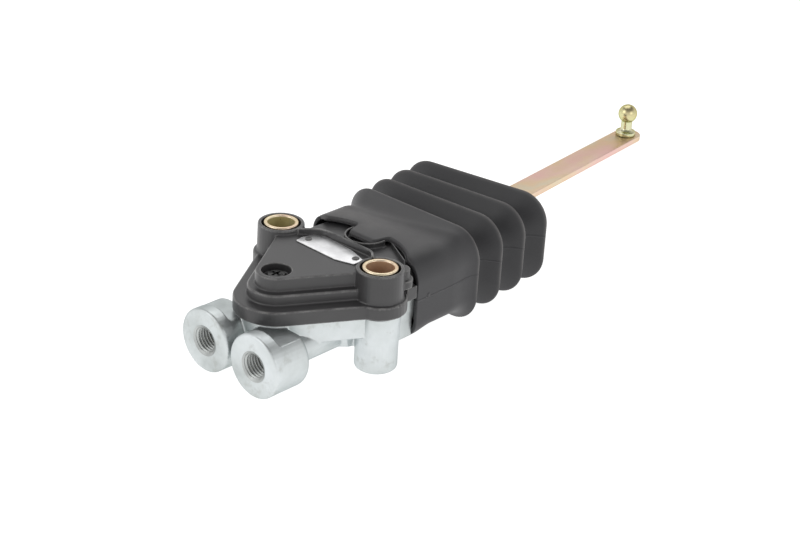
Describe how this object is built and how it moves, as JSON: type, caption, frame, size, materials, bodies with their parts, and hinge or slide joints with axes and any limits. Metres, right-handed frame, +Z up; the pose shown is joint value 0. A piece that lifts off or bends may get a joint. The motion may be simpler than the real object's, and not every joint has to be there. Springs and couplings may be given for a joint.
{
  "type": "air suspension levelling valve",
  "caption": "Air suspension levelling valve: stepped cover over a cast housing with threaded ports and bolt posts, bellows round a swinging lever with a ball stud.",
  "frame": {"origin": "on the housing's flat belly, midway between the axes of the two mounting bolts", "axes": "+Z up along the mounting bolts, +Y from the ports to the lever's ball, +X to the right"},
  "size_m": [0.0917, 0.3202, 0.0482],
  "materials": {
    "zinc_casting": "bright die-cast, semi-gloss",
    "gasket": "matte sheet",
    "black_plastic": "satin moulded black",
    "black_screw": "blackened steel",
    "yellow_zinc": "yellow zinc plated steel, glossy",
    "label_silver": "satin silver, bare",
    "bellows_rubber": "matte black rubber",
    "lever_chromate": "yellow chromated steel, satin",
    "stud_zinc": "yellow zinc plated steel, glossy",
    "rocker_steel": "sintered steel, dull",
    "rivet_steel": "plated steel",
    "ground_steel": "ground steel",
    "bronze": "sintered bronze",
    "spring_steel": "oiled spring steel",
    "brass_seat": "turned brass",
    "o_ring_rubber": "soft black rubber",
    "tappet_steel": "hardened, ground",
    "spring_wire": "bright spring wire"
  },
  "bodies": {
    "valve_body": {"valve_housing": "zinc_casting", "cover_gasket": "gasket", "top_cover": "black_plastic", "cover_screw": "black_screw", "sleeve_left": "yellow_zinc", "sleeve_right": "yellow_zinc", "label_plate": "label_silver", "bellows": "bellows_rubber", "pivot_bush_lower": "bronze", "pivot_bush_upper": "bronze", "valve_seat_left": "brass_seat", "valve_seat_right": "brass_seat", "seat_o_ring_left": "o_ring_rubber", "seat_o_ring_right": "o_ring_rubber", "tappet_spring_left": "spring_wire", "tappet_spring_right": "spring_wire"},
    "swinging_lever": {"lever": "lever_chromate", "ball_stud": "stud_zinc", "rocker": "rocker_steel", "lever_rivet_front": "rivet_steel", "lever_rivet_rear": "rivet_steel", "pivot_pin": "ground_steel", "pivot_circlip": "spring_steel"},
    "left_tappet": {"tappet_left": "tappet_steel"},
    "right_tappet": {"tappet_right": "tappet_steel"}
  },
  "joints": [
    {"name": "lever_swing", "type": "hinge", "parent": "valve_body", "child": "swinging_lever", "pos_m": [0, 0.015, 0], "axis": [0, 0, 1], "range_deg": [-21, 9], "deforming": ["bellows"]},
    {"name": "left_tappet_slide", "type": "slide", "parent": "valve_body", "child": "left_tappet", "axis": [0, 1, 0], "range_m": [-0.0024, 0.0055], "deforming": ["tappet_spring_left"]},
    {"name": "right_tappet_slide", "type": "slide", "parent": "valve_body", "child": "right_tappet", "axis": [0, 1, 0], "range_m": [-0.0055, 0.0024], "deforming": ["tappet_spring_right"]}
  ],
  "couplings": [
    {"joint": "left_tappet_slide", "follows": "lever_swing", "m_per_rad": -0.0149},
    {"joint": "right_tappet_slide", "follows": "lever_swing", "m_per_rad": 0.0149}
  ]
}
